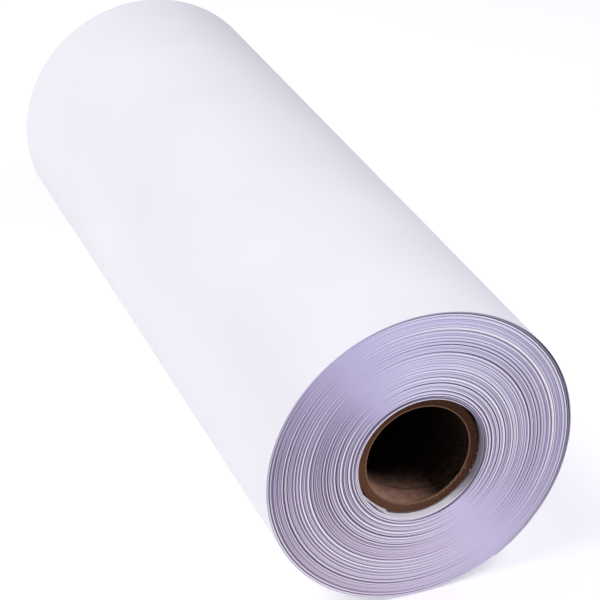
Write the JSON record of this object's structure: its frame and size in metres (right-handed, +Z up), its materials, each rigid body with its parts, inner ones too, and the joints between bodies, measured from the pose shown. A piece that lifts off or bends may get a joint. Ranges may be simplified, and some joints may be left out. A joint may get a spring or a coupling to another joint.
{
  "type": "roll of sign vinyl",
  "caption": "Roll of white sign vinyl on its release liner, wound on a kraft paper core, with a loose tail that lifts and film that peels off its liner.",
  "frame": {"origin": "on the axis of the core's bore, at the middle of the web's width", "axes": "+Y along the bore from the near end to the far end, +Z up as the roll lies on its side, +X towards the tail"},
  "size_m": [0.2251, 0.61, 0.224],
  "materials": {
    "core_board": "matt spirally wound kraft board",
    "mount_tape": "satin double-sided tape",
    "wound_edge": "matt stacked edges of film and liner",
    "release_liner": "smooth siliconed paper",
    "vinyl_film": "matt white calendered film",
    "clear_tape": "frosted office tape"
  },
  "bodies": {
    "roll": {"core_inner_ply": "core_board", "core_ply_2": "core_board", "core_ply_3": "core_board", "core_ply_4": "core_board", "core_ply_5": "core_board", "core_ply_6": "core_board", "core_outer_ply": "core_board", "start_tape": "mount_tape", "web_start": "wound_edge", "innermost_turn": "wound_edge", "wound_web": "wound_edge", "outer_turn_liner": "release_liner", "outer_turn_film": "vinyl_film"},
    "tail": {"tail_liner": "release_liner", "tail_film": "vinyl_film"},
    "peel_edge": {"film_tip": "vinyl_film", "tail_tab_near": "clear_tape", "tail_tab_far": "clear_tape"}
  },
  "joints": [
    {"name": "tail_lift", "type": "hinge", "parent": "roll", "child": "tail", "pos_m": [0.10765, 0, 0.03445], "axis": [0, -1, 0], "range_deg": [0, 75], "stiffness_Nm_per_rad": 0.1},
    {"name": "film_peel", "type": "hinge", "parent": "tail", "child": "peel_edge", "pos_m": [0.08776, 0, -0.07069], "axis": [0, -1, 0], "range_deg": [0, 110], "stiffness_Nm_per_rad": 0.03}
  ]
}
